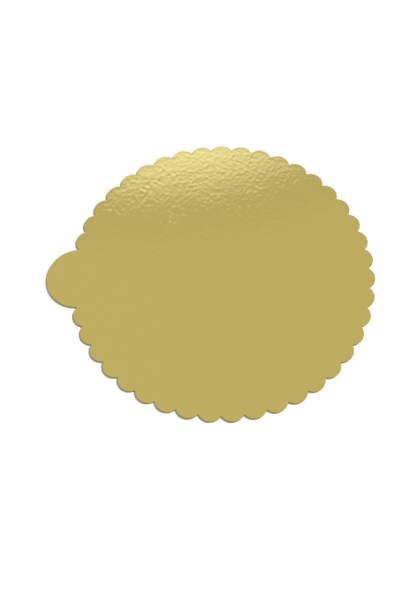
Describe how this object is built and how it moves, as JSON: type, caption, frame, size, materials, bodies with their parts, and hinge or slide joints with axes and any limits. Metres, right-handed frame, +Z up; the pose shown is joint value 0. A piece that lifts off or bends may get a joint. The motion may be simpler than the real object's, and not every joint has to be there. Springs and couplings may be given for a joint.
{
  "type": "cake board",
  "caption": "Flat round cake board of gold-foil-faced card with a scalloped edge and a rounded pull tab on one side.",
  "frame": {"origin": "centre of the scalloped circle on the underside, where the board lies on a table", "axes": "+Z up out of the foil face; the pull tab points along -X; the board is mirror-symmetric about the XZ plane"},
  "size_m": [0.3216, 0.2998, 0.0015],
  "materials": {
    "gold_foil_card": "satin"
  },
  "bodies": {
    "root": {"cake_board": "gold_foil_card"}
  },
  "joints": []
}
